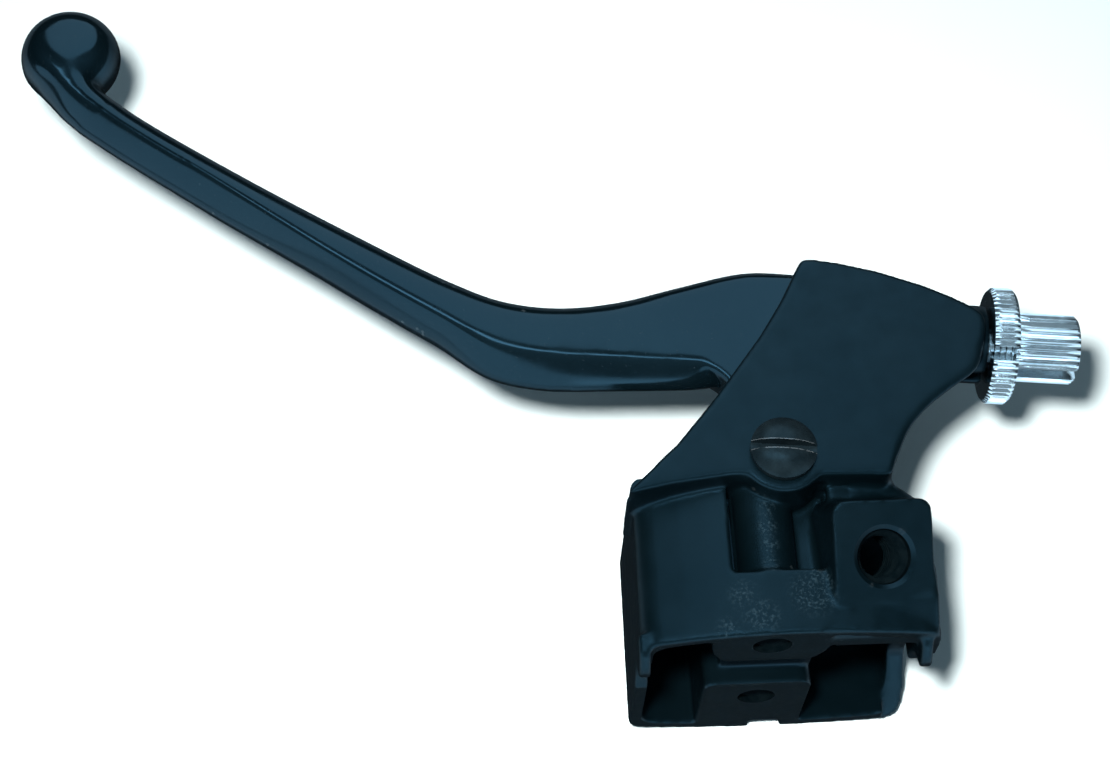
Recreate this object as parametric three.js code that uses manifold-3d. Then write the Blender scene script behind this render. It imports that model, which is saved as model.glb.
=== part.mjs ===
// Motorcycle clutch lever on its handlebar bracket, in millimetres, +Z up along the lever's pivot axis.
// +X runs along the handlebar, +Y points ahead, away from the rider. The bracket's back half is a shell
// that closes round the handlebar against the switch housing: its rim lies in the plane Y = 0.
import * as THREE from 'three';
import { mergeVertices } from 'three/addons/utils/BufferGeometryUtils.js';
import Module from 'manifold-3d';

const wasm = await Module();
wasm.setup();

// ---------- driving dimensions ----------
const ROUND = 32;                // sides of a plain round
const SMALL = 24;                // sides of a small one
const GAP = 0.3;                 // running clearance between pieces
const FAR = 60;                  // cuts that run right through reach this far
const OVER = 1;                  // cuts start this far outside the face they cut

const bar = { y: -9, radius: 11.2 };                    // seat of the 22 mm handlebar, axis along X
const shell = { left: -26, right: 33.8, depth: 40, wall: 2.8, rightWall: 4, end: 6, corner: 4 };
const roof = { left: 16.3, crown: 21.3, right: 17.7 };  // outer roof height at the two sides and the middle
const floor = { side: -31.3, crown: -34 };
const shoulder = { x: 27, y: 33 };                      // the shell's far right corner is cut back to here
const clampScrew = { z: 14.75, tap: 2.5, mouth: 4, mouthDeep: 2, depth: 18 };
const pillar = { left: -11.6, right: 11, boss: 12, flat: 6.5, webLeft: -8.2, webRight: 10.8, webFrom: 4 };
const keyNotch = { left: 0.2, right: 6.8, deep: 2.3 };  // locates the clamp cap in the lower rim
const pocket = { left: -7, right: 13.2, from: 13.6, to: 32.6, floor: 13.5, wall: 1.5 };  // sunk into the roof
const crest = { x: 0.6, radius: 5.9, from: 12, to: 34 };                      // screw column in its floor
const ear = { thick: 2.4, leftOut: 0.5, rightIn: 2 };

const pivot = { x: 4.6, y: 37.5, boss: 9, shank: 4.05, thread: 3 };
const plane = 14.5;              // height of the lever's middle and of the cable
const root = { half: 4.75, boss: 7.4 };                 // lever root inside the slot
const slot = { half: root.half + GAP };
const arm = { top: 25, bottom: 3 };
const well = 7.2;                // radius of the room round the pivot nut

// The cable's axis leaves the arm at (x, y); lengths along it are counted outward from there.
const cable = { x: 51.2, y: 65.7, turn: -5.7 };
const tube = { radius: 8.3, from: -24, bore: 4.15, boreFrom: -17 };
const passage = { radius: 2.2, from: -40, slit: 2.8 };
const nipple = { along: -46.1, radius: 4.1, skin: 2.4 };
const wheel = { start: 0.4, thick: 5.2, radius: 12.3, teeth: 56, toothDeep: 0.5, slitTurn: -0.94 };
const barrel = {
  start: 6, length: 13.3, radius: 7.3, teeth: 30, toothDeep: 0.45, shank: 3.75, reach: -14, slitTurn: -0.15,
};
const ferrule = { radius: 3.3, deep: 6 };
const wire = { radius: 1.5, slit: 2.6 };  // the cable's way through wheel and barrel

const mirror = { x: 22.6, y: 14.2, z: 24, lean: 23.5, tilt: 6.5, side: 20.5, up: 11.3, depth: 16, tap: 4.45 };
const mirrorMouth = { wider: 1.9, deep: 1.8, above: 0.3 };
// Foot of the mirror boss seen from the side, corners [y, z, radius].
const mirrorSkirt = [[0.4, 12], [14, 12], [14, 20.6], [6.6, 20.4, 1], [1, 17.4, 1.5], [0.4, 16]];

const bush = { outer: 5.4, inner: 4.25, half: root.half - 0.1 };
const head = { radius: 6.7, rim: 1.9, dome: 1.3, rise: 0.2, slotWide: 1.7, slotDeep: 2, turn: -6 };
const nut = { across: 10, top: 0.8, bottom: -4.2, collar: -5.4, collarRadius: 4.3 };
const washer = { outer: 5.6, inner: 3.2, top: 2.7, bottom: 1.1, split: 0.8, splitLean: 0.5 };
const ball = { x: -144, y: 145.5, radius: 11, half: 8, flat: 5.5 };

// Plan of the arm, corners [x, y, radius]: its open side, its far side, the end at the cable, the near side.
const armLeft = [[-28, 29.2, 1.5], [-16.4, 40.2], [-8.1, 50.1], [2.4, 64.1], [7.4, 72], [13, 82.6, 2]];
const armAhead = [[20.9, 81], [28.5, 78.8], [38, 75], [43.5, 72.2, 3]];
const armEnd = [[50.4, 67.8, 3], [47.4, 54.6, 4], [38, 48.8, 5], [31, 42.5, 5]];
const armNear = [[26, 31.4, 1], [-6, 32.6], [-18, 31.2]];
// The foot of the flank between them is set ahead by `ahead`, and out by `out` where x is below `outUntil`.
const flank = { fromX: 27, untilY: 62, ahead: 9.5, out: 2.5, outUntil: 42 };

// Plan of the lever's root.
const rootPlan = [
  [-8.4, 60.6], [-3.4, 56.5, 3], [-4.6, 44], [pivot.x - root.boss, pivot.y], [pivot.x, pivot.y - 2],
  [pivot.x + root.boss, pivot.y], [15.4, 50], [18.2, 62, 4], [18.2, 77], [15, 81.4, 2], [2, 82], [-4, 80.6],
];
// Stations of the blade from root to tip: its front edge, its upper rider-side edge, the depth of its rounded
// nose on the rider's side, and half its height.
const stations = [
  { front: [15, 83.2], edge: [15, 60], nose: 1.5, half: 4.75 },
  { front: [2, 84.2], edge: [2, 60], nose: 1.5, half: 4.75 },
  { front: [-12.4, 81.2], edge: [-12, 61.8], nose: 4.6, half: 4.75 },
  { front: [-26, 77.9], edge: [-27, 62.9], nose: 5.4, half: 5.3 },
  { front: [-38.5, 76.8], edge: [-42, 64], nose: 5.8, half: 6 },
  { front: [-50, 78.8], edge: [-52, 67.4], nose: 6, half: 6.2 },
  { front: [-60, 83.4], edge: [-62.5, 76.2], nose: 6.3, half: 6.4 },
  { front: [-80, 95.6], edge: [-83, 91], nose: 6.4, half: 6.4 },
  { front: [-105.5, 112.2], edge: [-108.5, 108.4], nose: 6.2, half: 6.3 },
  { front: [-130, 129.8], edge: [-133, 125.6], nose: 5.2, half: 5.8 },
  { front: [-142, 140], edge: [-144, 136], nose: 4.2, half: 6.2 },
  { front: [-148, 146], edge: [-150, 141.4], nose: 3.4, half: 6.4 },
];
const lip = 1.8;                 // radius of the blade's front edge

// ---------- helpers ----------
function solid(geometry) {
  geometry.deleteAttribute('normal');
  geometry.deleteAttribute('uv');
  const merged = mergeVertices(geometry, 1e-4);
  const vertProperties = new Float32Array(merged.attributes.position.array);
  const triVerts = new Uint32Array(merged.index.array);
  return new wasm.Manifold(new wasm.Mesh({ numProp: 3, vertProperties, triVerts }));
}

function toGeometry(body) {
  const mesh = body.getMesh();
  const geometry = new THREE.BufferGeometry();
  geometry.setAttribute('position', new THREE.BufferAttribute(new Float32Array(mesh.vertProperties), 3));
  geometry.setIndex(new THREE.BufferAttribute(new Uint32Array(mesh.triVerts), 1));
  geometry.computeVertexNormals();
  return geometry;
}

// Closed outline through corners [x, y, radius]; a corner with a radius is rounded.
function outline(corners) {
  const shape = new THREE.Shape();
  corners.forEach(([x, y, radius = 0], i) => {
    const here = new THREE.Vector2(x, y);
    const before = new THREE.Vector2(...corners[(i + corners.length - 1) % corners.length]);
    const after = new THREE.Vector2(...corners[(i + 1) % corners.length]);
    const enter = before.sub(here).setLength(radius).add(here);
    const leave = after.sub(here).setLength(radius).add(here);
    if (i === 0) shape.moveTo(enter.x, enter.y);
    else shape.lineTo(enter.x, enter.y);
    if (radius > 0) shape.quadraticCurveTo(x, y, leave.x, leave.y);
  });
  shape.closePath();
  return shape;
}

function prism(shape, from, to, curveSegments = 5) {
  const geometry = new THREE.ExtrudeGeometry(shape, { depth: to - from, bevelEnabled: false, curveSegments });
  return geometry.translate(0, 0, from);
}

// An X-Z outline drawn out along Y, and a Y-Z outline drawn out along X.
const alongY = (shape, from, to, fine) => solid(prism(shape, -to, -from, fine).rotateX(Math.PI / 2));
const alongX = (shape, from, to) => solid(prism(shape, from, to).rotateX(Math.PI / 2).rotateZ(Math.PI / 2));
const alongZ = (shape, from, to, fine) => solid(prism(shape, from, to, fine));

function block(x0, x1, y0, y1, z0, z1) {
  const geometry = new THREE.BoxGeometry(x1 - x0, y1 - y0, z1 - z0);
  return solid(geometry.translate((x0 + x1) / 2, (y0 + y1) / 2, (z0 + z1) / 2));
}

function rod(radius, from, to, sides = ROUND) {
  const geometry = new THREE.CylinderGeometry(radius, radius, to - from, sides);
  return geometry.rotateX(Math.PI / 2).translate(0, 0, (from + to) / 2);
}

const rodZ = (x, y, radius, from, to, sides) => solid(rod(radius, from, to, sides).translate(x, y, 0));
const rodY = (x, z, radius, from, to, sides) => solid(rod(radius, -to, -from, sides).rotateX(Math.PI / 2)
  .translate(x, 0, z));
const rodX = (y, z, radius, from, to, sides) => solid(rod(radius, from, to, sides).rotateY(Math.PI / 2)
  .translate(0, y, z));

// The cable's axis: local +Z runs out of the bracket along it, local +X points down.
const cableFrame = new THREE.Matrix4().makeTranslation(cable.x, cable.y, plane)
  .multiply(new THREE.Matrix4().makeRotationZ(THREE.MathUtils.degToRad(cable.turn)))
  .multiply(new THREE.Matrix4().makeRotationY(Math.PI / 2));
const onCable = (geometry) => solid(geometry.applyMatrix4(cableFrame));

// The mirror thread's axis: local +Z is the outward normal of the boss face.
const mirrorFrame = new THREE.Matrix4().makeTranslation(mirror.x, mirror.y, mirror.z)
  .multiply(new THREE.Matrix4().makeRotationX(THREE.MathUtils.degToRad(mirror.lean)))
  .multiply(new THREE.Matrix4().makeRotationY(THREE.MathUtils.degToRad(mirror.tilt)));
const onMirror = (geometry) => solid(geometry.applyMatrix4(mirrorFrame));

// ---------- bracket ----------
const mid = (shell.left + shell.right) / 2;
const crownAt = (x, side, crown) => crown + (side - crown) * ((x - mid) / (mid - shell.left)) ** 2;

// Barrel-shaped section of the shell, pushed in by a wall thickness where it is the cavity.
function shellSection(inset, rightInset) {
  const left = shell.left + inset;
  const right = shell.right - rightInset;
  const steps = 10;
  const shape = new THREE.Shape();
  const top = (x) => crownAt(x, x < mid ? roof.left : roof.right, roof.crown) - inset;
  const bottom = (x) => crownAt(x, floor.side, floor.crown) + inset;
  shape.moveTo(left, top(left) - shell.corner);
  shape.quadraticCurveTo(left, top(left), left + shell.corner, top(left + shell.corner));
  for (let i = 1; i <= steps; i += 1) {
    const x = THREE.MathUtils.lerp(left + shell.corner, right - shell.corner, i / steps);
    shape.lineTo(x, top(x));
  }
  shape.quadraticCurveTo(right, top(right), right, top(right) - shell.corner);
  shape.lineTo(right, bottom(right) + shell.corner);
  shape.quadraticCurveTo(right, bottom(right), right - shell.corner, bottom(right - shell.corner));
  for (let i = 1; i <= steps; i += 1) {
    const x = THREE.MathUtils.lerp(right - shell.corner, left + shell.corner, i / steps);
    shape.lineTo(x, bottom(x));
  }
  shape.quadraticCurveTo(left, bottom(left), left, bottom(left) + shell.corner);
  shape.closePath();
  return shape;
}

// Two ears of the side walls reach round the bar, past the rim.
function ears() {
  const side = outline([[3, 17], [-1.6, 16.2, 1], [-4.2, 13, 1], [-4, 9.6, 1], [-1, 8.4], [3, 6]]);
  const left = shell.left - ear.leftOut;
  const right = shell.right - ear.rightIn;
  return alongX(side, left, left + ear.thick).add(alongX(side, right - ear.thick, right));
}

// The middle pillar carries both clamp screws: a round boss above the bar, a square one below, a web between.
function middlePillar() {
  const end = shell.depth - shell.wall;
  const upper = rodY(0, clampScrew.z, pillar.boss, 0, end)
    .subtract(block(-FAR, FAR, -OVER, FAR, -FAR, pillar.flat));
  const lower = alongY(outline([
    [pillar.left, floor.side], [pillar.right, floor.side],
    [pillar.right, -pillar.flat, 4], [pillar.left, -pillar.flat, 4],
  ]), 0, end);
  const high = pillar.flat + OVER;
  const web = block(pillar.webLeft, pillar.webRight, pillar.webFrom, end, -high, high);
  return upper.add(lower).add(web);
}

function shellBody() {
  const plan = outline([
    [shell.left, -OVER], [shell.right + OVER, -OVER], [shell.right + OVER, shoulder.y - 5, 3],
    [shoulder.x, shoulder.y], [shoulder.x - 7, shell.depth, 3], [shell.left + 0.7, shell.depth, 3],
  ]);
  const outer = alongY(shellSection(0, 0), 0, shell.depth, 6).intersect(alongZ(plan, -FAR, FAR));
  const cavityEnd = shell.depth - shell.end;
  const cavityPlan = outline([
    [shell.left + shell.wall, -OVER - 1], [shell.right, -OVER - 1], [shell.right, shoulder.y - 7, 2],
    [shoulder.x - 5, cavityEnd, 2], [shell.left + shell.wall + 0.6, cavityEnd, 2],
  ]);
  const cavity = alongY(shellSection(shell.wall, shell.rightWall), -OVER, shell.depth, 4)
    .intersect(alongZ(cavityPlan, -FAR, FAR));
  const pillarBody = middlePillar().intersect(outer);
  return outer.subtract(cavity).add(pillarBody).add(ears());
}

// Cuts in the shell: bar seats, harness opening in the right wall, key notch in the lower rim, clamp screws.
function shellCuts() {
  const seats = rodX(bar.y, 0, bar.radius, shell.left - 5, shell.right + 5, 48);
  const harness = alongX(outline([[-3, -34.2], [11.6, -21.4, 2.2], [11.6, -16.5, 2.2], [6, -2], [-3, -2]]),
    shell.right - shell.rightWall - OVER, shell.right + 2 * OVER);
  const notchTop = floor.side + 1;
  const notch = alongY(outline([
    [keyNotch.left, -FAR], [keyNotch.right, -FAR],
    [keyNotch.right, notchTop, 1], [keyNotch.left, notchTop, 1],
  ]), -OVER, keyNotch.deep);
  let cuts = seats.add(harness).add(notch);
  for (const z of [clampScrew.z, -clampScrew.z]) {
    cuts = cuts.add(rodY(0, z, clampScrew.tap, -OVER, clampScrew.depth, SMALL));
    cuts = cuts.add(rodY(0, z, clampScrew.mouth, -OVER, clampScrew.mouthDeep, SMALL));
  }
  return cuts;
}

// The foot of the rider-side flank is set back ahead, so that the arm thins towards the cable's tube.
function leanFlank(geometry) {
  const position = geometry.attributes.position;
  for (let i = 0; i < position.count; i += 1) {
    const x = position.getX(i);
    const y = position.getY(i);
    const moves = position.getZ(i) < plane && x > flank.fromX && y < flank.untilY;
    if (moves) position.setXY(i, x < flank.outUntil ? x + flank.out : x, y + flank.ahead);
  }
  return geometry;
}

// The arm: two cheeks with the lever's slot between them, joined by a web beside it.
function armBody() {
  const plan = outline([...armLeft, ...armAhead, ...armEnd, ...armNear]);
  const cheeks = solid(leanFlank(prism(plan, arm.bottom, arm.top)));
  const boss = rodZ(pivot.x, pivot.y, pivot.boss, arm.bottom, arm.top);
  return cheeks.add(boss).add(onCable(rod(tube.radius, tube.from, 0)));
}

function leverSlot() {
  const opening = outline([
    [-45, 33.8], [-7, 33.8, 2], [pivot.x, pivot.y - 6, 2], [pivot.x + 9.6, pivot.y - 3, 4],
    [18.6, 60, 4], [18.6, 95], [-45, 95],
  ]);
  return alongZ(opening, plane - slot.half, plane + slot.half)
    .add(rodZ(pivot.x, pivot.y, root.boss + GAP, plane - slot.half, plane + slot.half));
}

// Way in for the cable: a tapped bore, a narrow passage behind it, and a slit open on the rider's side.
function cableCuts() {
  const bore = onCable(rod(tube.bore, tube.boreFrom, OVER));
  const behind = onCable(rod(passage.radius, passage.from, OVER, 16));
  const slit = new THREE.BoxGeometry(passage.slit, FAR / 3, OVER - passage.from);
  return bore.add(behind).add(onCable(slit.translate(0, -FAR / 6, (OVER + passage.from) / 2)));
}

function mirrorBoss() {
  const half = mirror.side / 2;
  const low = mirror.up - mirror.side;
  const face = outline([[-half, low, 3], [half, low, 3], [half, mirror.up, 3], [-half, mirror.up, 3]]);
  const body = onMirror(prism(face, -mirror.depth, 0));
  const skirt = alongX(outline(mirrorSkirt), mirror.x - half + 0.1, shell.right - 0.6);
  return body.add(skirt);
}

function mirrorBore() {
  const { wider, deep, above } = mirrorMouth;
  const countersink = new THREE.CylinderGeometry(mirror.tap + wider, mirror.tap, deep, ROUND);
  return onMirror(rod(mirror.tap, -FAR / 2, OVER))
    .add(onMirror(countersink.rotateX(Math.PI / 2).translate(0, 0, above - deep / 2)));
}

// Room for the pivot nut under the arm, and the two-step bore of the shouldered pivot screw.
function pivotCuts() {
  return rodZ(pivot.x, pivot.y, well, -FAR, arm.bottom)
    .add(block(pivot.x - well, pivot.x + well, pivot.y, shell.depth + OVER, -FAR, arm.bottom))
    .add(rodZ(pivot.x, pivot.y, pivot.shank + GAP, plane, FAR))
    .add(rodZ(pivot.x, pivot.y, pivot.thread + GAP, arm.bottom - OVER, plane));
}

function bracket() {
  const sunk = block(pocket.left, pocket.right, pocket.from, pocket.to, pocket.floor, FAR);
  const tray = block(pocket.left - pocket.wall, pocket.right + pocket.wall,
    pocket.from - pocket.wall, pocket.to + pocket.wall, pocket.floor - pocket.wall, roof.left);
  const column = rodY(crest.x, clampScrew.z, crest.radius, crest.from, crest.to, 28);
  return shellBody().add(tray).subtract(sunk).add(column).add(armBody()).add(mirrorBoss())
    .subtract(shellCuts()).subtract(leverSlot()).subtract(cableCuts())
    .subtract(mirrorBore()).subtract(pivotCuts());
}

// ---------- lever ----------
// One section of the blade as points (across, up): flat top, round front, deep round rider side.
function bladeSection(width, nose, half) {
  const arc = 4;
  const round = Math.min(lip, width / 3);
  const points = [];
  for (let i = 0; i < arc * 2; i += 1) {
    const angle = Math.PI / 2 - (Math.PI * i) / (arc * 2);
    points.push([-round + round * Math.cos(angle), half * Math.sin(angle)]);
  }
  for (let i = 0; i < arc * 2; i += 1) {
    const angle = -Math.PI / 2 - (Math.PI * i) / (arc * 2);
    points.push([-width + nose * Math.cos(angle), half * Math.sin(angle)]);
  }
  return points;
}

function blade() {
  const curve = (key) => new THREE.CatmullRomCurve3(stations.map((s) => new THREE.Vector3(...s[key], 0)));
  const sizes = new THREE.CatmullRomCurve3(stations.map((s) => new THREE.Vector3(s.nose, s.half, 0)));
  const fronts = curve('front');
  const edges = curve('edge');
  const steps = 36;
  const positions = [];
  const index = [];
  let ring = 0;
  for (let i = 0; i <= steps; i += 1) {
    const front = fronts.getPoint(i / steps);
    const across = front.clone().sub(edges.getPoint(i / steps));
    const size = sizes.getPoint(i / steps);
    const section = bladeSection(across.length(), size.x, size.y);
    across.normalize();
    ring = section.length;
    for (const [u, z] of section) positions.push(front.x + across.x * u, front.y + across.y * u, plane + z);
  }
  for (let i = 0; i < steps; i += 1) {
    for (let j = 0; j < ring; j += 1) {
      const a = i * ring + j;
      const b = i * ring + ((j + 1) % ring);
      index.push(a, b, b + ring, a, b + ring, a + ring);
    }
  }
  for (let j = 1; j < ring - 1; j += 1) {
    index.push(0, j + 1, j);
    index.push(steps * ring, steps * ring + j, steps * ring + j + 1);
  }
  const geometry = new THREE.BufferGeometry();
  geometry.setAttribute('position', new THREE.BufferAttribute(new Float32Array(positions), 3));
  geometry.setIndex(index);
  return solid(geometry);
}

function tipBall() {
  const profile = new THREE.Path();
  const bulge = ball.radius - ball.flat;
  profile.moveTo(0, -ball.half);
  profile.lineTo(ball.flat, -ball.half);
  profile.absellipse(ball.flat, 0, bulge, ball.half, -Math.PI / 2, Math.PI / 2, false);
  profile.lineTo(0, ball.half);
  const lathe = new THREE.LatheGeometry(profile.getPoints(5), 28).rotateX(Math.PI / 2);
  return solid(lathe.translate(ball.x, ball.y, plane));
}

function rootPlate() {
  return alongZ(outline(rootPlan), plane - root.half, plane + root.half)
    .add(rodZ(pivot.x, pivot.y, root.boss, plane - root.half, plane + root.half));
}

function lever() {
  const holeTop = plane + root.half - nipple.skin;
  const nippleX = cable.x + nipple.along * Math.cos(THREE.MathUtils.degToRad(cable.turn));
  const nippleY = cable.y + nipple.along * Math.sin(THREE.MathUtils.degToRad(cable.turn));
  const slit = block(nippleX, FAR, nippleY - wire.radius, nippleY + wire.radius, -FAR, plane + 2);
  return rootPlate().add(blade()).add(tipBall())
    .subtract(rodZ(nippleX, nippleY, nipple.radius, -FAR, holeTop, SMALL)).subtract(slit)
    .subtract(rodZ(pivot.x, pivot.y, bush.outer + GAP / 2, -FAR, FAR));
}

// ---------- pivot hardware ----------
function pivotBush() {
  return rodZ(pivot.x, pivot.y, bush.outer, plane - bush.half, plane + bush.half)
    .subtract(rodZ(pivot.x, pivot.y, bush.inner, -FAR, FAR));
}

function pivotScrew() {
  const base = arm.top + GAP;
  const top = base + head.rim + head.dome;
  const profile = new THREE.Path();
  profile.moveTo(0, base);
  profile.lineTo(head.radius, base);
  profile.lineTo(head.radius, base + head.rim);
  profile.quadraticCurveTo(head.radius * 0.86, top, 0, top + head.rise);
  const cap = solid(new THREE.LatheGeometry(profile.getPoints(6), ROUND).rotateX(Math.PI / 2)
    .translate(pivot.x, pivot.y, 0));
  const groove = new THREE.BoxGeometry(head.radius * 3, head.slotWide, head.slotDeep * 2)
    .rotateZ(THREE.MathUtils.degToRad(head.turn)).translate(pivot.x, pivot.y, top);
  return cap.subtract(solid(groove))
    .add(rodZ(pivot.x, pivot.y, pivot.shank, plane - root.half, base + head.rim / 2))
    .add(rodZ(pivot.x, pivot.y, pivot.thread, nut.collar - 0.8, plane, SMALL));
}

function pivotNut() {
  return rodZ(pivot.x, pivot.y, nut.across / Math.sqrt(3), nut.bottom, nut.top, 6)
    .add(rodZ(pivot.x, pivot.y, nut.collarRadius, nut.collar, (nut.bottom + nut.top) / 2))
    .subtract(rodZ(pivot.x, pivot.y, pivot.thread + GAP / 2, -FAR, FAR, SMALL));
}

function springWasher() {
  const split = new THREE.BoxGeometry(washer.outer, washer.split, washer.outer).rotateX(washer.splitLean)
    .translate(pivot.x + (washer.inner + washer.outer) / 2, pivot.y, (washer.top + washer.bottom) / 2);
  return rodZ(pivot.x, pivot.y, washer.outer, washer.bottom, washer.top)
    .subtract(rodZ(pivot.x, pivot.y, washer.inner, -FAR, FAR, SMALL)).subtract(solid(split));
}

// ---------- cable adjuster ----------
// Straight knurl: every second point of the outline drops by the depth of the teeth.
function knurled(radius, teeth, depth, from, to) {
  const shape = new THREE.Shape();
  for (let i = 0; i < teeth * 2; i += 1) {
    const angle = (i * Math.PI) / teeth;
    const r = radius - (i % 2) * depth;
    if (i === 0) shape.moveTo(r, 0);
    else shape.lineTo(r * Math.cos(angle), r * Math.sin(angle));
  }
  shape.closePath();
  return prism(shape, from, to);
}

// A slit from the axis outward, so the cable drops in from the side.
function cableSlit(from, to, turn) {
  const slit = new THREE.BoxGeometry(wire.slit, FAR / 3, to - from).translate(0, -FAR / 6, (from + to) / 2);
  return onCable(slit.rotateZ(turn));
}

function lockWheel() {
  const end = wheel.start + wheel.thick;
  return onCable(knurled(wheel.radius, wheel.teeth, wheel.toothDeep, wheel.start, end))
    .subtract(onCable(rod(barrel.shank + GAP, -FAR, FAR)))
    .subtract(cableSlit(wheel.start - OVER, end + OVER, wheel.slitTurn));
}

function adjusterBarrel() {
  const end = barrel.start + barrel.length;
  return onCable(knurled(barrel.radius, barrel.teeth, barrel.toothDeep, barrel.start, end))
    .add(onCable(rod(barrel.shank, barrel.reach, barrel.start + 1)))
    .subtract(onCable(rod(wire.radius, -FAR, FAR, 16)))
    .subtract(onCable(rod(ferrule.radius, end - ferrule.deep, end + OVER, 20)))
    .subtract(cableSlit(barrel.reach - OVER, end + OVER, barrel.slitTurn));
}

// ---------- assembly ----------
const blackCasting = { color: 0x10161a, roughness: 0.5, metalness: 0.0 };
const glossBlack = { color: 0x0b1014, roughness: 0.16, metalness: 0.0 };
const blackSteel = { color: 0x2a2f33, roughness: 0.35, metalness: 0.8 };
const zinc = { color: 0xc9d2d6, roughness: 0.25, metalness: 1.0 };
const bronze = { color: 0x9a7440, roughness: 0.4, metalness: 1.0 };

const group = new THREE.Group();
function add(name, body, look) {
  const mesh = new THREE.Mesh(toGeometry(body), new THREE.MeshStandardMaterial(look));
  mesh.name = name;
  group.add(mesh);
}

add('lever_bracket', bracket(), blackCasting);
add('clutch_lever', lever(), glossBlack);
add('pivot_bush', pivotBush(), bronze);
add('pivot_screw', pivotScrew(), blackSteel);
add('spring_washer', springWasher(), zinc);
add('pivot_nut', pivotNut(), zinc);
add('lock_wheel', lockWheel(), zinc);
add('adjuster_barrel', adjusterBarrel(), zinc);

export default group;
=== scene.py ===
"""Looks of the clutch lever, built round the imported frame: bracket, lever, pivot screw, adjuster."""

import math

import bmesh
import bpy
import numpy as np
from mathutils import Matrix, Vector


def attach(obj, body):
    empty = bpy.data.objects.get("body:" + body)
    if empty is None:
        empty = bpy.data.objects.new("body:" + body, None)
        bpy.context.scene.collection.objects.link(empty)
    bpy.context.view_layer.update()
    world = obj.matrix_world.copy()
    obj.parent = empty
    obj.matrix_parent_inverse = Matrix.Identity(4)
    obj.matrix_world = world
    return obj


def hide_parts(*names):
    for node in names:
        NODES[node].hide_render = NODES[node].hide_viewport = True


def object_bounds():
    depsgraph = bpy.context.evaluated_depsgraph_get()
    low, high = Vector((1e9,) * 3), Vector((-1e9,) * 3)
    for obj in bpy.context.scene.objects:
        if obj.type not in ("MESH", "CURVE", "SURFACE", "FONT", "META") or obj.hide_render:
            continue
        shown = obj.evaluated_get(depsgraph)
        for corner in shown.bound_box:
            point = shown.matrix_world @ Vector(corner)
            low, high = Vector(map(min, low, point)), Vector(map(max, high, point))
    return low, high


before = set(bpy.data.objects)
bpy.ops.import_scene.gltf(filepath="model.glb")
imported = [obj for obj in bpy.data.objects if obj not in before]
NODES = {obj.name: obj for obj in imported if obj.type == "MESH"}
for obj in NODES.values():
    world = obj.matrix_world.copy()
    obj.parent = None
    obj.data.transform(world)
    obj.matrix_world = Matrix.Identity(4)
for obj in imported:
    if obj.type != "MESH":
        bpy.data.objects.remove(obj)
CAD_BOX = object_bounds()
MM = 0.001
PLANE = 14.5                     # height of the lever's middle, mm
ROOT_HALF = 4.75                 # half the thickness of the lever's root
BOSS_RADIUS = 7.4
CLAMP_HOLES = (14.75, -14.75)    # heights of the two clamp-screw holes
M6 = (2.5, 3.0, 1.0)             # core radius, outer radius, pitch
M10_FINE = (4.15, 5.0, 1.25)

CABLE = (Matrix.Translation((51.2, 65.7, PLANE)) @ Matrix.Rotation(math.radians(-5.7), 4, "Z")
         @ Matrix.Rotation(math.pi / 2, 4, "Y"))
MIRROR = (Matrix.Translation((22.6, 14.2, 24)) @ Matrix.Rotation(math.radians(23.5), 4, "X")
          @ Matrix.Rotation(math.radians(6.5), 4, "Y"))
ALONG_Y = Matrix.Rotation(-math.pi / 2, 4, "X")      # local +Z becomes +Y
PIVOT = (4.6, 37.5)
AT_PIVOT = Matrix.Translation((*PIVOT, 0))
SCREW_TURN = -6                  # degrees the slot is turned from the bar's direction
WHEEL = {"start": 0.4, "end": 5.6, "radius": 12.3, "teeth": 56, "deep": 0.62, "turn": -0.94}
BARREL = {"start": 6.0, "end": 19.3, "radius": 7.3, "teeth": 30, "deep": 0.6, "turn": -0.15}
STUDIO_TINT = (0.62, 0.87, 1.04)    # colour of the studio's cool light


# ---------- mesh helpers: shells are (points in mm, faces) ----------
def shells_to_object(name, shells):
    points, faces = [], []
    for own_points, own_faces in shells:
        base = len(points)
        points += [Vector(p) * MM for p in own_points]
        faces += [[base + i for i in face] for face in own_faces]
    mesh = bpy.data.meshes.new(name)
    mesh.from_pydata(points, [], faces)
    mesh.update()
    obj = bpy.data.objects.new(name, mesh)
    bpy.context.scene.collection.objects.link(obj)
    return obj


def placed(shell, matrix):
    points, faces = shell
    return [matrix @ Vector(p) for p in points], faces


def grid_shell(rings):
    """Closed shell through rings of equal length, capped with a fan at both ends."""
    count = len(rings[0])
    points = [p for ring in rings for p in ring]
    faces = []
    for r in range(len(rings) - 1):
        for i in range(count):
            j = (i + 1) % count
            faces.append([r * count + i, r * count + j, (r + 1) * count + j, (r + 1) * count + i])
    first, last = np.mean(rings[0], axis=0), np.mean(rings[-1], axis=0)
    points += [tuple(first), tuple(last)]
    low, high = len(points) - 2, len(points) - 1
    top = (len(rings) - 1) * count
    for i in range(count):
        j = (i + 1) % count
        faces.append([low, j, i])
        faces.append([high, top + i, top + j])
    return points, faces


def turned(profile, sides, radius_of=None):
    """Solid of revolution about local Z through (radius, height) points; radius_of may carve it."""
    rings = []
    for radius, height in profile:
        ring = []
        for i in range(sides):
            angle = 2 * math.pi * i / sides
            r = radius_of(radius, height, angle) if radius_of else radius
            ring.append((r * math.cos(angle), r * math.sin(angle), height))
        rings.append(ring)
    return grid_shell(rings)


def rod(radius, low, high, sides=64):
    return turned([(radius, low), (radius, high)], sides)


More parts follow.
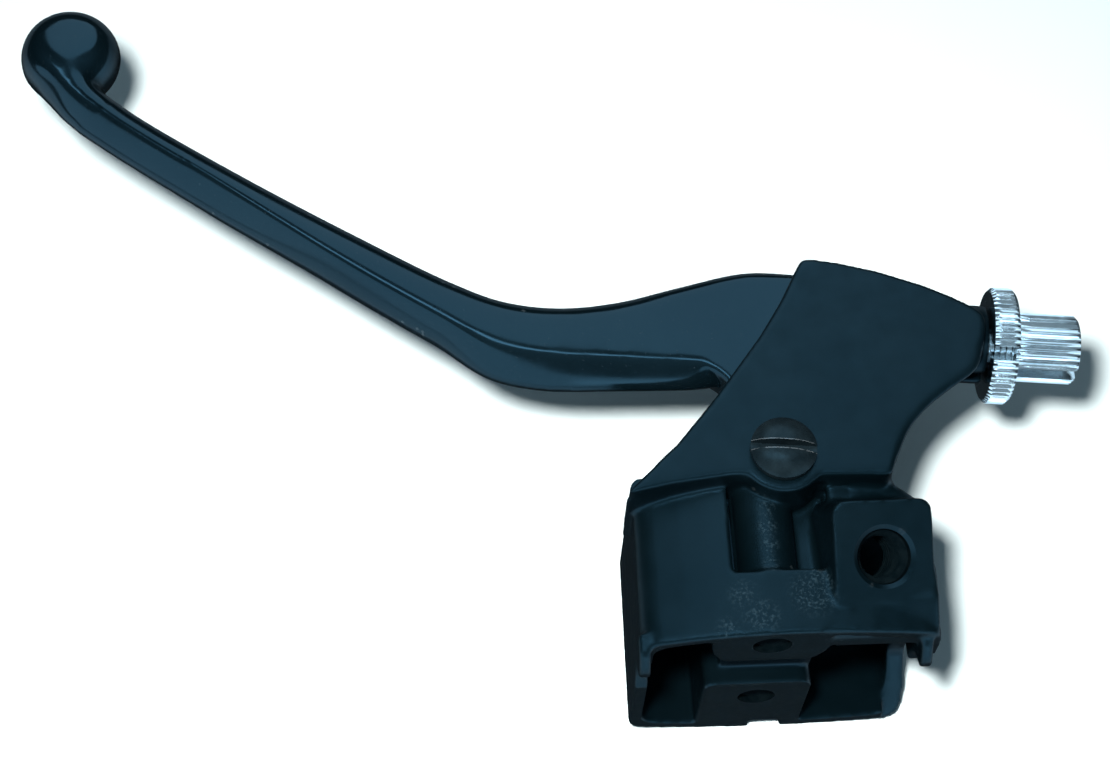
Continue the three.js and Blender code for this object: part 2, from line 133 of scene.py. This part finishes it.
def screw_thread(inner, outer, pitch, low, high, sides=72):
    """Rod with a V thread: its radius swings between inner and outer once a pitch."""
    steps = max(2, round((high - low) / pitch * 10))
    heights = [low + (high - low) * k / steps for k in range(steps + 1)]

    def radius_of(_, height, angle):
        phase = (height / pitch - angle / (2 * math.pi)) % 1
        return inner + (outer - inner) * min(1, max(0, 1.25 * abs(2 * phase - 1) - 0.12))

    return turned([(outer, h) for h in heights], sides, radius_of)


def block(x0, x1, y0, y1, z0, z1):
    points = [(x, y, z) for z in (z0, z1) for x, y in ((x0, y0), (x1, y0), (x1, y1), (x0, y1))]
    faces = [[3, 2, 1, 0], [4, 5, 6, 7], [0, 1, 5, 4], [1, 2, 6, 5], [2, 3, 7, 6], [3, 0, 4, 7]]
    return points, faces


def prism(outline, low, high):
    count = len(outline)
    points = [(x, y, z) for z in (low, high) for x, y in outline]
    faces = [list(reversed(range(count))), list(range(count, 2 * count))]
    faces += [[i, (i + 1) % count, (i + 1) % count + count, i + count] for i in range(count)]
    return points, faces


def rounded(corners, steps=6):
    """Outline through (x, y, radius) corners, each rounded with a small curve."""
    outline = []
    count = len(corners)
    for i, corner in enumerate(corners):
        here = Vector(corner[:2])
        radius = corner[2] if len(corner) > 2 else 0
        if not radius:
            outline.append(tuple(here))
            continue
        enter = here + (Vector(corners[i - 1][:2]) - here).normalized() * radius
        leave = here + (Vector(corners[(i + 1) % count][:2]) - here).normalized() * radius
        for k in range(steps + 1):
            t = k / steps
            outline.append(tuple(enter * (1 - t) ** 2 + here * 2 * t * (1 - t) + leave * t * t))
    return outline


def settle(obj):
    """Bakes the object's modifiers into its mesh."""
    bpy.context.view_layer.update()
    graph = bpy.context.evaluated_depsgraph_get()
    mesh = bpy.data.meshes.new_from_object(obj.evaluated_get(graph))
    obj.modifiers.clear()
    old = obj.data
    obj.data = mesh
    bpy.data.meshes.remove(old)
    mesh.name = obj.name


def fuse(obj, voxel):
    """Melts overlapping shells into one skin of even small faces."""
    modifier = obj.modifiers.new("fuse", "REMESH")
    modifier.mode = "VOXEL"
    modifier.voxel_size = voxel * MM
    settle(obj)


def cut(obj, shells, operation="DIFFERENCE"):
    for shell in shells:
        cutter = shells_to_object("cutter", [shell])
        modifier = obj.modifiers.new("cut", "BOOLEAN")
        modifier.operation = operation
        modifier.object = cutter
        modifier.solver = "MANIFOLD"
        settle(obj)
        bpy.data.objects.remove(cutter)


def positions(obj):
    co = np.empty(len(obj.data.vertices) * 3)
    obj.data.vertices.foreach_get("co", co)
    return co.reshape(-1, 3) / MM


def relax(obj, steps_at):
    """Rounds the skin. steps_at(points) says how many rounds of smoothing each point gets."""
    co = positions(obj)
    edges = np.empty(len(obj.data.edges) * 2, np.int64)
    obj.data.edges.foreach_get("vertices", edges)
    a, b = edges.reshape(-1, 2).T
    count = len(co)
    share = np.maximum(1, np.bincount(a, minlength=count) + np.bincount(b, minlength=count))
    steps = steps_at(co)
    for step in range(int(steps.max())):
        mean = np.stack([
            np.bincount(a, co[b, k], count) + np.bincount(b, co[a, k], count) for k in range(3)
        ], 1) / share[:, None]
        pull = np.clip(steps - step, 0, 1)[:, None] * 0.5
        co = co + (mean - co) * pull
    obj.data.vertices.foreach_set("co", (co * MM).ravel())
    obj.data.update()


def near(points, spots, reach):
    """1 at the spots, falling to 0 at reach mm from the closest of them."""
    spots = np.array(spots, float).reshape(-1, 3)
    best = np.full(len(points), 1e9)
    for spot in spots:
        best = np.minimum(best, np.linalg.norm(points - spot, axis=1))
    return np.clip(1 - best / reach, 0, 1)


def inside(points, low, high, soft=1.0):
    """1 inside the box, falling to 0 within soft mm of its faces outside."""
    gap = np.maximum(np.array(low) - points, points - np.array(high)).max(1)
    return np.clip(1 - gap / soft, 0, 1)


def shade(obj, angle):
    obj.data.shade_smooth()
    obj.data.set_sharp_from_angle(angle=angle)


def centripetal(points, samples):
    """Centripetal Catmull-Rom curve through points, samples + 1 of them evenly by station."""
    pts = [np.array(p, float) for p in points]
    pts = [2 * pts[0] - pts[1]] + pts + [2 * pts[-1] - pts[-2]]
    spans = len(points) - 1
    found = []
    for k in range(samples + 1):
        place = k / samples * spans
        i = min(int(place), spans - 1)
        t = place - i
        p0, p1, p2, p3 = pts[i:i + 4]
        d0, d1, d2 = (max(1e-4, np.linalg.norm(q - p) ** 0.5) for p, q in ((p0, p1), (p1, p2), (p2, p3)))
        t1 = ((p1 - p0) / d0 - (p2 - p0) / (d0 + d1) + (p2 - p1) / d1) * d1
        t2 = ((p2 - p1) / d1 - (p3 - p1) / (d1 + d2) + (p3 - p2) / d2) * d1
        found.append(p1 + t1 * t + (-3 * p1 + 3 * p2 - 2 * t1 - t2) * t ** 2
                     + (2 * p1 - 2 * p2 + t1 + t2) * t ** 3)
    return found


# ---------- materials ----------
class Nodes:
    """A small hand for wiring a procedural material."""

    def __init__(self, name):
        self.material = bpy.data.materials.new(name)
        self.material.use_nodes = True
        self.tree = self.material.node_tree
        self.shader = self.tree.nodes["Principled BSDF"]
        self.place = self.add("ShaderNodeTexCoord").outputs["Object"]

    def add(self, kind, inputs=(), **settings):
        node = self.tree.nodes.new(kind)
        for key, value in settings.items():
            setattr(node, key, value)
        for key, value in dict(inputs).items():
            if isinstance(value, bpy.types.NodeSocket):
                self.tree.links.new(value, node.inputs[key])
            else:
                node.inputs[key].default_value = value
        return node

    def noise(self, scale, detail=2.0, rough=0.5, stretch=None):
        place = self.place
        if stretch:
            place = self.add("ShaderNodeMapping", {"Vector": place, "Scale": stretch}).outputs[0]
        return self.add("ShaderNodeTexNoise", {
            "Vector": place, "Scale": scale, "Detail": detail, "Roughness": rough}).outputs[0]

    def ramp(self, value, low, high, to_low=0.0, to_high=1.0):
        return self.add("ShaderNodeMapRange", {
            "Value": value, "From Min": low, "From Max": high,
            "To Min": to_low, "To Max": to_high}).outputs[0]

    def math(self, operation, a, b=0.0):
        return self.add("ShaderNodeMath", {0: a, 1: b}, operation=operation).outputs[0]

    def mix(self, factor, a, b):
        node = self.add("ShaderNodeMix", {0: factor}, data_type="RGBA")
        for index, value in ((6, a), (7, b)):
            if isinstance(value, bpy.types.NodeSocket):
                self.tree.links.new(value, node.inputs[index])
            else:
                node.inputs[index].default_value = (*value, 1)
        return node.outputs[2]

    def bump(self, height, distance, strength):
        inputs = {"Height": height, "Distance": distance * MM, "Strength": strength}
        return self.add("ShaderNodeBump", inputs).outputs[0]

    def spot(self, centre, radius, soft):
        """1 within radius mm of centre, 0 beyond radius + soft."""
        away = self.add("ShaderNodeVectorMath", {
            0: self.place, 1: [c * MM for c in centre]}, operation="DISTANCE").outputs["Value"]
        return self.ramp(away, radius * MM, (radius + soft) * MM, 1.0, 0.0)

    def set(self, **values):
        for key, value in values.items():
            socket = self.shader.inputs[key.replace("_", " ")]
            if isinstance(value, bpy.types.NodeSocket):
                self.tree.links.new(value, socket)
            else:
                socket.default_value = (*value, 1) if hasattr(value, "__len__") else value


# Spots of thin paint on the casting: centre, radius and soft edge, mm.
BARE_SPOTS = [
    ((0.6, 15, 20.7), 0.9, 1.2), ((0.6, 19, 20.7), 0.9, 1.6), ((0.6, 23, 20.7), 0.9, 1.6),
    ((0.6, 27, 20.7), 0.9, 1.4), ((0.6, 30.5, 20.7), 0.7, 1.2), ((-9.4, 1.9, 20.5), 1.2, 1.6),
    ((-2.4, 3.9, 21), 2.0, 2.6), ((7.9, 8.1, 20.5), 2.6, 3.2), ((9.6, 11, 20.2), 1.8, 2.0),
    ((-5.5, 8.5, 21), 1.0, 3.0),
]


def bracket_paint():
    n = Nodes("bracket_paint")
    grain = n.noise(900, 3, 0.6)
    broad = n.noise(55, 3, 0.55)
    base = n.mix(n.ramp(broad, 0.35, 0.65), (0.0006, 0.0024, 0.0034), (0.0012, 0.0036, 0.0050))
    # Bare, rough spots where the casting's skin shows through the paint.
    pits = n.noise(1500, 2, 0.7)
    spots = None
    for centre, radius, soft in BARE_SPOTS:
        spot = n.spot(centre, radius, soft)
        spots = spot if spots is None else n.math("MAXIMUM", spots, spot)
    specks = n.math("MULTIPLY", spots, n.ramp(pits, 0.50, 0.66))
    # Convex edges are painted lighter: partly worn paint, partly a painted highlight where the rounded edges
    # catch light.
    wear_and_edge_sheen = n.ramp(n.add("ShaderNodeNewGeometry").outputs["Pointiness"], 0.545, 0.60)
    wear_and_edge_sheen = n.math("MULTIPLY", wear_and_edge_sheen, n.ramp(n.noise(160, 4, 0.6), 0.50, 0.72))
    base = n.mix(n.math("MULTIPLY", specks, 0.6), base, (0.016, 0.030, 0.038))
    base = n.mix(n.math("MULTIPLY", wear_and_edge_sheen, 0.35), base, (0.050, 0.066, 0.075))
    rough = n.ramp(n.noise(240, 3, 0.6), 0.3, 0.7, 0.30, 0.42)
    height = n.math("ADD", n.math("MULTIPLY", grain, 0.5), n.math("MULTIPLY", specks, 0.5))
    n.set(Base_Color=base, Roughness=rough, Normal=n.bump(height, 0.05, 0.55),
          Specular_IOR_Level=0.42, Specular_Tint=(0.36, 0.74, 1.0))
    return n.material


def lever_paint():
    n = Nodes("lever_paint")
    broad = n.noise(40, 2, 0.5)
    base = n.mix(n.ramp(broad, 0.35, 0.65), (0.0008, 0.0028, 0.0042), (0.0014, 0.0042, 0.0060))
    dust = n.ramp(n.noise(2600, 1, 0.5), 0.70, 0.76)
    base = n.mix(n.math("MULTIPLY", dust, 0.15), base, (0.05, 0.065, 0.075))
    # Convex edges are painted lighter: partly worn paint, partly a painted highlight along the edges.
    wear_and_edge_sheen = n.ramp(n.add("ShaderNodeNewGeometry").outputs["Pointiness"], 0.56, 0.64)
    base = n.mix(n.math("MULTIPLY", wear_and_edge_sheen, 0.35), base, (0.06, 0.08, 0.09))
    rough = n.ramp(n.noise(180, 3, 0.6), 0.3, 0.7, 0.11, 0.18)
    height = n.math("ADD", n.noise(420, 2, 0.5), n.math("MULTIPLY", dust, 0.8))
    n.set(Base_Color=base, Roughness=rough, Normal=n.bump(height, 0.02, 0.35),
          Specular_IOR_Level=0.58, Specular_Tint=(0.36, 0.74, 1.0))
    return n.material


def black_steel():
    n = Nodes("screw_steel")
    base = n.mix(n.ramp(n.noise(300, 3, 0.6), 0.35, 0.65), (0.003, 0.006, 0.008), (0.006, 0.011, 0.014))
    # The slot's two edges are made bright bare metal: partly rubbed by the screwdriver, partly a painted
    # highlight for the slot's bright line.
    turn = math.radians(SCREW_TURN)
    square_to_slot = (math.sin(-turn), math.cos(turn), 0)
    across = n.add("ShaderNodeVectorMath", {0: n.place, 1: square_to_slot}, operation="DOT_PRODUCT")
    middle = Vector((*PIVOT, 0)).dot(Vector(square_to_slot)) * MM
    away = n.math("ABSOLUTE", n.math("SUBTRACT", across.outputs["Value"], middle))
    wear_and_edge_sheen = n.math("MULTIPLY", n.ramp(away, 0.91 * MM, 0.95 * MM), n.ramp(away, 1.0 * MM, 1.12 * MM, 1.0, 0.0))
    wear_and_edge_sheen = n.math("MULTIPLY", wear_and_edge_sheen, n.ramp(n.noise(700, 3, 0.6), 0.40, 0.56))
    base = n.mix(n.math("MULTIPLY", wear_and_edge_sheen, 0.7), base, (0.26, 0.31, 0.34))
    rough = n.ramp(n.noise(500, 3, 0.6), 0.3, 0.7, 0.20, 0.34)
    height = n.noise(1400, 3, 0.6)
    n.set(Base_Color=base, Metallic=n.math("MULTIPLY", wear_and_edge_sheen, 0.9), Roughness=rough,
          Normal=n.bump(height, 0.03, 0.45), Specular_IOR_Level=0.20, Specular_Tint=(0.45, 0.8, 1.0))
    return n.material


def plated(name, light, dark, low, high, tint):
    n = Nodes(name)
    cloud = n.ramp(n.noise(130, 4, 0.6), 0.35, 0.65)
    base = n.mix(cloud, dark, light)
    marks = n.noise(2200, 2, 0.6, stretch=(0.15, 1, 1))
    rough = n.ramp(n.noise(600, 3, 0.6), 0.3, 0.7, low, high)
    n.set(Base_Color=base, Metallic=1.0, Roughness=rough, Normal=n.bump(marks, 0.02, 0.4),
          Specular_Tint=tint)
    return n.material


def floor_paper():
    n = Nodes("floor_paper")
    base = n.mix(n.ramp(n.noise(6, 2, 0.5), 0.3, 0.7), (0.70, 0.80, 0.81), (0.74, 0.84, 0.85))
    n.set(Base_Color=base, Roughness=0.85, Normal=n.bump(n.noise(900, 2, 0.5), 0.03, 0.2))
    return n.material


# Painted shade: a dark finish of low reflection that makes the bores read as shadowed.
def painted_shade_bore():
    n = Nodes("painted_shade_bore")
    cloud = n.ramp(n.noise(400, 3, 0.6), 0.35, 0.65)
    base = n.mix(cloud, (0.0008, 0.0022, 0.0030), (0.0020, 0.0042, 0.0052))
    n.set(Base_Color=base, Roughness=n.ramp(n.noise(700, 2, 0.5), 0.3, 0.7, 0.5, 0.65),
          Normal=n.bump(n.noise(1500, 2, 0.6), 0.02, 0.4), IOR=1.12, Specular_Tint=(0.5, 0.8, 1.0))
    return n.material


def finish_with(obj, material):
    obj.data.materials.clear()
    obj.data.materials.append(material)


# ---------- bracket ----------
def mark_bores(obj):
    """Gives the faces inside the tapped holes a dark, barely reflecting finish: painted shade for the shadow
    deep in the holes.
    """
    obj.data.materials.append(painted_shade_bore())
    count = len(obj.data.polygons)
    centres = np.empty(count * 3)
    obj.data.polygons.foreach_get("center", centres)
    centres = centres.reshape(-1, 3) / MM
    local = (centres - np.array(MIRROR.translation)) @ np.array(MIRROR.to_3x3())
    inner = (np.hypot(local[:, 0], local[:, 1]) < 5.45) & (local[:, 2] < -0.6)
    along = (centres[:, 1] > 0.2) & (centres[:, 1] < 18.2)
    for z in CLAMP_HOLES:
        inner |= (np.hypot(centres[:, 0], centres[:, 2] - z) < 4.0) & along
    slots = np.where(inner, 1, 0).astype(np.int32)
    obj.data.polygons.foreach_set("material_index", slots)


def clamp_hole(shell, z):
    """A shell made about local Z, laid into the clamp-screw hole at height z."""
    return placed(shell, Matrix.Translation((0, 0, z)) @ ALONG_Y)


def casting_rounds(p):
    """How many rounds of smoothing each point of the casting gets; crisp places get few."""
    rounds = np.full(len(p), 7.0)
    rounds += 34 * inside(p, (-26, 27.5, 15.5), (31, 34, 23), 2)          # fillet between slab and roof
    rounds += 12 * inside(p, (10.5, -1, 10), (15, 30, 26), 1)              # left foot of the mirror boss
    rounds += 10 * inside(p, (28, 34, 3), (52, 60, 26), 2)                 # the arm's rider-side flank
    machined = inside(p, (-60, 25, 8.6), (17.5, 90, 20.4), 0.6)            # the lever's slot
    rim = inside(p, (-40, -8, -40), (40, 1.2, 12), 0.5)
    crisp = np.maximum(machined, rim)
    return np.where(crisp < 0.01, rounds, np.minimum(rounds, 7 - 4.5 * crisp))


def cast_bracket():
    source = NODES["lever_bracket"].data.copy()
    obj = bpy.data.objects.new("bracket_casting", source)
    bpy.context.scene.collection.objects.link(obj)
    # Bores are filled for now and cut again, sharp, once the casting's edges are round.
    plugs = [placed(rod(6.9, -8.5, 0), MIRROR)]
    plugs += [clamp_hole(rod(4.3, 0, 19), z) for z in CLAMP_HOLES]
    filler = shells_to_object("filler", plugs)
    joined = bpy.data.meshes.new("joined")
    bm = bmesh.new()
    bm.from_mesh(source)
    bm.from_mesh(filler.data)
    bm.to_mesh(joined)
    bm.free()
    bpy.data.objects.remove(filler)
    obj.data = joined
    fuse(obj, 0.45)
    relax(obj, casting_rounds)
    cut(obj, [
        placed(screw_thread(*M10_FINE, -30, 0.6), MIRROR),
        placed(turned([(4.2, -3.2), (5.35, -2.2), (5.5, -0.7), (6.4, 0.02), (6.4, 2)], 96), MIRROR),
    ])
    for z in CLAMP_HOLES:
        cut(obj, [
            clamp_hole(screw_thread(*M6, -2, 18), z),
            clamp_hole(turned([(3.9, -2), (3.9, 1.6), (2.8, 2.6)], 64), z),
        ])
    cut(obj, [placed(turned([(4.4, -0.8), (5.2, 0.6)], 64), CABLE)])
    shade(obj, math.radians(38))
    finish_with(obj, bracket_paint())
    mark_bores(obj)
    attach(obj, "bracket")
    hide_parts("lever_bracket")


# ---------- lever ----------
# Each station: front edge, ridge on the rider's side, depth of the nose, half the height
# and round of the front.
STATIONS = [
    ((15, 83.2), (15, 60), 1.5, ROOT_HALF, 4), ((2, 84.2), (2, 60), 1.5, ROOT_HALF, 4),
    ((-12.4, 81.2), (-12, 61.8), 4.6, ROOT_HALF, 4), ((-26, 77.9), (-27, 62.9), 5.4, 5.3, 5),
    ((-38.5, 76.8), (-42, 64), 5.8, 6, 5), ((-50, 78.8), (-52.4, 66.8), 5.6, 6.2, 5),
    ((-60, 83.4), (-63.8, 73.8), 3.7, 6.4, 5), ((-80, 95.6), (-84.6, 88.3), 3.4, 6.4, 5),
    ((-105.5, 112.2), (-109, 107.4), 5.0, 6.3, 4.6), ((-130, 129.8), (-133, 125.6), 5.2, 6.0, 4.2),
    ((-138, 137.4), (-141.4, 133), 5.5, 6.7, 3.6), ((-141.5, 142), (-145.6, 137), 4.6, 7.4, 2.6),
    ((-143.5, 146), (-147.6, 140.8), 5.2, 7.8, 2.4), ((-143.5, 148), (-147, 143.8), 3, 7.8, 2.4),
]
ROOT_PLAN = [
    (-8.4, 60.6), (-3.4, 56.5, 3), (-4.6, 44), (-2.8, 37.5), (4.6, 35.5), (12, 37.5), (15.4, 50),
    (18.2, 62, 4), (18.2, 77), (15, 81.4, 2), (2, 82), (-4, 80.6),
]
BLADE_STEPS = 220
BALL = (-144, 145.5)
BALL_HALF, BALL_FLAT, BALL_ROUND = 8, 4.6, 6.4    # half height, radius of the flat, width of the round
BALL_NECK = [(-142, 138, z) for z in (8, 12, 17, 21)]    # where the blade runs into the ball


def blade_section(width, nose, half, lip):
    """(across, up) points: crowned top, round front, and a face that rolls from the ridge to the nose."""
    points = []
    for i in range(13):
        angle = math.pi / 2 - math.pi * i / 12
        points.append((-lip + lip * math.cos(angle), half * math.sin(angle)))
    side = []
    for i in range(15):
        t = i / 14
        x = 2 * t * (1 - t) + t * t
        z = (1 - t) ** 2 + 2 * t * (1 - t) * 0.30
        side.append((-width - nose * x, half * z))
    points += [(x, -z) for x, z in side]
    points += [(x, z) for x, z in reversed(side[:-1])]
    across = [-width + (width - lip) * k / 6 for k in range(1, 6)]
    points += [(x, half + 0.22 * math.sin(math.pi * (x + width) / (width - lip))) for x in across]
    return points


def forged_lever():
    fronts = centripetal([s[0] for s in STATIONS], BLADE_STEPS)
    ridges = centripetal([s[1] for s in STATIONS], BLADE_STEPS)
    sizes = centripetal([s[2:] for s in STATIONS], BLADE_STEPS)
    rings = []
    for front, ridge, (nose, half, lip) in zip(fronts, ridges, sizes):
        across = front - ridge
        width = np.linalg.norm(across)
        across = across / width
        section = blade_section(width, nose, half, lip)
        rings.append([(*(front + across * u), PLANE + z) for u, z in section])
    profile = [(0.01, -BALL_HALF), (BALL_FLAT, -BALL_HALF)]
    for angle in np.linspace(-math.pi / 2, math.pi / 2, 33)[1:-1]:
        profile.append((BALL_FLAT + BALL_ROUND * math.cos(angle), BALL_HALF * math.sin(angle)))
    profile += [(BALL_FLAT, BALL_HALF), (0.01, BALL_HALF)]
    ball = placed(turned(profile, 96), Matrix.Translation((*BALL, PLANE)))
    low, high = PLANE - ROOT_HALF, PLANE + ROOT_HALF
    plate = prism(rounded(ROOT_PLAN), low, high)
    boss = placed(rod(BOSS_RADIUS, low, high, 96), AT_PIVOT)
    obj = shells_to_object("forged_lever", [grid_shell(rings), ball, plate, boss])
    fuse(obj, 0.38)
    relax(obj, lambda p: 26 + 150 * near(p, BALL_NECK, 12) ** 0.5)
    nipple_x, nipple_y = (CABLE @ Vector((0, 0, -46.1)))[:2]
    at_nipple = Matrix.Translation((nipple_x, nipple_y, 0))
    cut(obj, [
        placed(rod(4.1, -10, PLANE + 2.35), at_nipple),
        block(nipple_x, 60, nipple_y - 1.5, nipple_y + 1.5, -10, PLANE + 2),
        placed(rod(5.55, -10, 40), AT_PIVOT),
    ])
    shade(obj, math.radians(42))
    finish_with(obj, lever_paint())
    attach(obj, "lever")
    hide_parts("clutch_lever")


# ---------- pivot screw ----------
def pivot_screw():
    base, radius = 25.3, 6.7
    profile = [(0.01, base), (radius - 0.2, base), (radius, base + 0.2), (radius, base + 1.3)]
    for k in range(1, 15):
        t = k / 14
        r = radius * (1 - t) ** 2 + 2 * t * (1 - t) * radius * 0.66
        z = (base + 1.3) * (1 - t) ** 2 + 2 * t * (1 - t) * (base + 3.3) + t * t * (base + 3.4)
        profile.append((max(r, 0.01), z))
    head = turned(profile, 128)
    obj = shells_to_object("slotted_screw", [placed(head, AT_PIVOT)])
    groove = placed(block(-10, 10, -0.9, 0.9, base + 0.7, base + 6),
                    AT_PIVOT @ Matrix.Rotation(math.radians(SCREW_TURN), 4, "Z"))
    cut(obj, [groove])
    cut(obj, [
        placed(rod(4.05, 9.75, base + 0.6, 64), AT_PIVOT),
        placed(screw_thread(*M6, -6.2, 10.2), AT_PIVOT),
    ], "UNION")
    bevel = obj.modifiers.new("wear_and_edge_sheen", "BEVEL")
    bevel.width = 0.16 * MM
    bevel.segments = 2
    bevel.limit_method = "ANGLE"
    bevel.angle_limit = math.radians(50)
    bevel.use_clamp_overlap = True
    shade(obj, math.radians(30))
    finish_with(obj, black_steel())
    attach(obj, "bracket")
    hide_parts("pivot_screw")


# ---------- cable adjuster ----------
def knurl_profile(spec, chamfer, steps=5):
    """(radius, height) rings of a knurled drum with chamfered ends."""
    low, high, radius = spec["start"], spec["end"], spec["radius"]
    rings = [(radius - chamfer, low), (radius, low + chamfer)]
    rings += [(radius, low + chamfer + (high - low - 2 * chamfer) * k / steps) for k in range(1, steps)]
    return rings + [(radius, high - chamfer), (radius - chamfer, high)]


def knurled_drum(spec, chamfer):
    def radius_of(radius, height, angle):
        phase = (angle * spec["teeth"] / (2 * math.pi)) % 1
        tooth = 1 - min(1, 1.5 * abs(2 * phase - 1))
        full = spec["radius"] - spec["deep"] * (1 - tooth ** 0.8)
        return min(radius, full)

    return turned(knurl_profile(spec, chamfer), spec["teeth"] * 10, radius_of)


def slit(spec, wide, low, high):
    """Slot cut into a drum's rim, from its axis outwards."""
    turn = Matrix.Rotation(spec["turn"], 4, "Z")
    return placed(block(-wide / 2, wide / 2, -20, 0, low, high), CABLE @ turn)


def lock_wheel(look):
    obj = shells_to_object("knurled_lock_wheel", [placed(knurled_drum(WHEEL, 0.75), CABLE)])
    cut(obj, [
        placed(screw_thread(3.78, 4.35, 1.25, -2, 8), CABLE),
        placed(turned([(5.0, -1), (5.0, 0.4), (3.9, 1.3)], 64), CABLE),
        slit(WHEEL, 2.9, -2, 8),
    ])
    shade(obj, math.radians(32))
    finish_with(obj, look)
    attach(obj, "lock_wheel")
    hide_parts("lock_wheel")


def adjuster_barrel(look):
    obj = shells_to_object("adjuster_barrel_piece", [placed(knurled_drum(BARREL, 0.7), CABLE)])
    cut(obj, [placed(screw_thread(3.15, 3.72, 1.25, -14, 6.6), CABLE)], "UNION")
    cut(obj, [
        placed(rod(1.5, -20, 25, 32), CABLE),
        placed(rod(3.3, 13.3, 22, 48), CABLE),
        placed(turned([(3.3, 18.6), (4.2, 19.6)], 48), CABLE),
        slit(BARREL, 2.6, -20, 25),
    ])
    shade(obj, math.radians(32))
    finish_with(obj, look)
    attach(obj, "adjuster")
    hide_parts("adjuster_barrel")


# ---------- carried-over CAD nodes ----------
def dress_node(name, material, width):
    node = NODES[name]
    finish_with(node, material)
    bevel = node.modifiers.new("edge", "BEVEL")
    bevel.width = width * MM
    bevel.segments = 2
    bevel.limit_method = "ANGLE"
    bevel.angle_limit = math.radians(40)
    shade(node, math.radians(30))


# ---------- stage ----------
def stage_floor():
    low = (CAD_BOX[0].z - 0.0003) / MM
    corners = [(x * 900, y * 900, low) for x, y in ((-1, -1), (1, -1), (1, 1), (-1, 1))]
    floor = shells_to_object("floor", [(corners, [[0, 1, 2, 3]])])
    finish_with(floor, floor_paper())
    floor.visible_glossy = False


# Brightness of the room from straight down (0) to straight up (1). The first two are its ends.
ROOM_LEVELS = [
    (0.0, 0.04), (1.0, 0.26), (0.12, 0.07), (0.24, 0.80), (0.46, 0.92),
    (0.50, 0.09), (0.72, 0.04), (0.82, 0.10), (0.92, 0.22),
]


def studio():
    world = bpy.data.worlds.new("studio")
    bpy.context.scene.world = world
    world.use_nodes = True
    tree = world.node_tree
    background = tree.nodes["Background"]
    place = tree.nodes.new("ShaderNodeTexCoord")
    split = tree.nodes.new("ShaderNodeSeparateXYZ")
    height = tree.nodes.new("ShaderNodeMapRange")
    height.inputs["From Min"].default_value = -1.0
    ramp = tree.nodes.new("ShaderNodeValToRGB")
    tree.links.new(place.outputs["Generated"], split.inputs[0])
    tree.links.new(split.outputs["Z"], height.inputs["Value"])
    tree.links.new(height.outputs[0], ramp.inputs[0])
    tree.links.new(ramp.outputs[0], background.inputs["Color"])
    stops = ramp.color_ramp.elements
    for i, (position, level) in enumerate(ROOM_LEVELS):
        stop = stops[i] if i < 2 else stops.new(position)
        stop.position = position
        stop.color = (*(level * part for part in STUDIO_TINT), 1)
    # The far side of the room is darker than the near one.
    depth = tree.nodes.new("ShaderNodeMapRange")
    for key, value in (("From Min", -0.2), ("From Max", 0.5), ("To Min", 1.25), ("To Max", 0.25)):
        depth.inputs[key].default_value = value
    tree.links.new(split.outputs["Y"], depth.inputs["Value"])
    tree.links.new(depth.outputs[0], background.inputs["Strength"])


def area_light(name, direction, distance, size, power, color, hidden_from):
    """Oval softbox towards direction; hidden_from lists the kinds of ray that don't meet it."""
    light = bpy.data.lights.new(name, "AREA")
    light.shape = "ELLIPSE"
    light.size, light.size_y = size
    light.energy = power
    light.color = color
    obj = bpy.data.objects.new(name, light)
    bpy.context.scene.collection.objects.link(obj)
    target = Vector((-0.039, 0.067, 0.0145))
    back = Vector(direction).normalized()
    obj.location = target + back * distance
    obj.rotation_mode = "QUATERNION"
    obj.rotation_quaternion = back.to_track_quat("Z", "Y")
    for kind in hidden_from:
        setattr(obj, "visible_" + kind, False)


def camera():
    elevation, azimuth, roll = math.radians(62.393), math.radians(6.166), math.radians(-3.637)
    back = Vector((-math.sin(azimuth) * math.cos(elevation), -math.cos(azimuth) * math.cos(elevation),
                   math.sin(elevation)))
    level = Vector((math.cos(azimuth), -math.sin(azimuth), 0))
    rise = back.cross(level)
    right = level * math.cos(roll) - rise * math.sin(roll)
    up = level * math.sin(roll) + rise * math.cos(roll)
    data = bpy.data.cameras.new("camera")
    data.lens = 71.35
    data.sensor_width = 36
    data.clip_start, data.clip_end = 0.01, 10
    obj = bpy.data.objects.new("camera", data)
    bpy.context.scene.collection.objects.link(obj)
    where = Vector((-39.011, 67.01, 0)) * MM + back * 0.474927
    obj.matrix_world = Matrix((
        (right.x, up.x, back.x, where.x),
        (right.y, up.y, back.y, where.y),
        (right.z, up.z, back.z, where.z),
        (0, 0, 0, 1)))
    bpy.context.scene.camera = obj
    return back, right, up


back, right, up = camera()
cast_bracket()
forged_lever()
pivot_screw()
zinc = plated("adjuster_zinc", (0.93, 0.97, 0.99), (0.80, 0.87, 0.91), 0.14, 0.26, (0.95, 0.99, 1.0))
lock_wheel(zinc)
adjuster_barrel(zinc)
steel = plated("zinc_steel", (0.66, 0.70, 0.72), (0.48, 0.52, 0.54), 0.26, 0.42, (0.95, 0.98, 1.0))
dress_node("pivot_nut", steel, 0.25)
dress_node("spring_washer", steel, 0.12)
bronze = plated("bush_bronze", (0.62, 0.42, 0.20), (0.46, 0.29, 0.13), 0.30, 0.45, (1, 0.9, 0.7))
dress_node("pivot_bush", bronze, 0.2)
stage_floor()
studio()
beside_camera = back * 0.47 + (up - right) * 0.044
area_light("key", beside_camera, 0.474, (0.05, 0.05), 5.6, (1.0, 0.995, 0.98), ["glossy"])
area_light("sky", Vector((0.05, 0.84, 1.0)), 1.0, (0.86, 0.86), 2.6, STUDIO_TINT, ["diffuse"])
area_light("front", Vector((-0.62, -1.0, 0.42)), 1.0, (2.5, 0.80), 6.4, STUDIO_TINT, ["diffuse"])
area_light("front_right", Vector((0.75, -1.0, 0.46)), 1.0, (1.3, 0.80), 3.0, STUDIO_TINT, ["diffuse"])
area_light("overhead", Vector((-0.17, 0.03, 1.0)), 1.0, (0.17, 0.95), 1.9, STUDIO_TINT, ["diffuse"])
bpy.context.scene.view_settings.view_transform = "Standard"
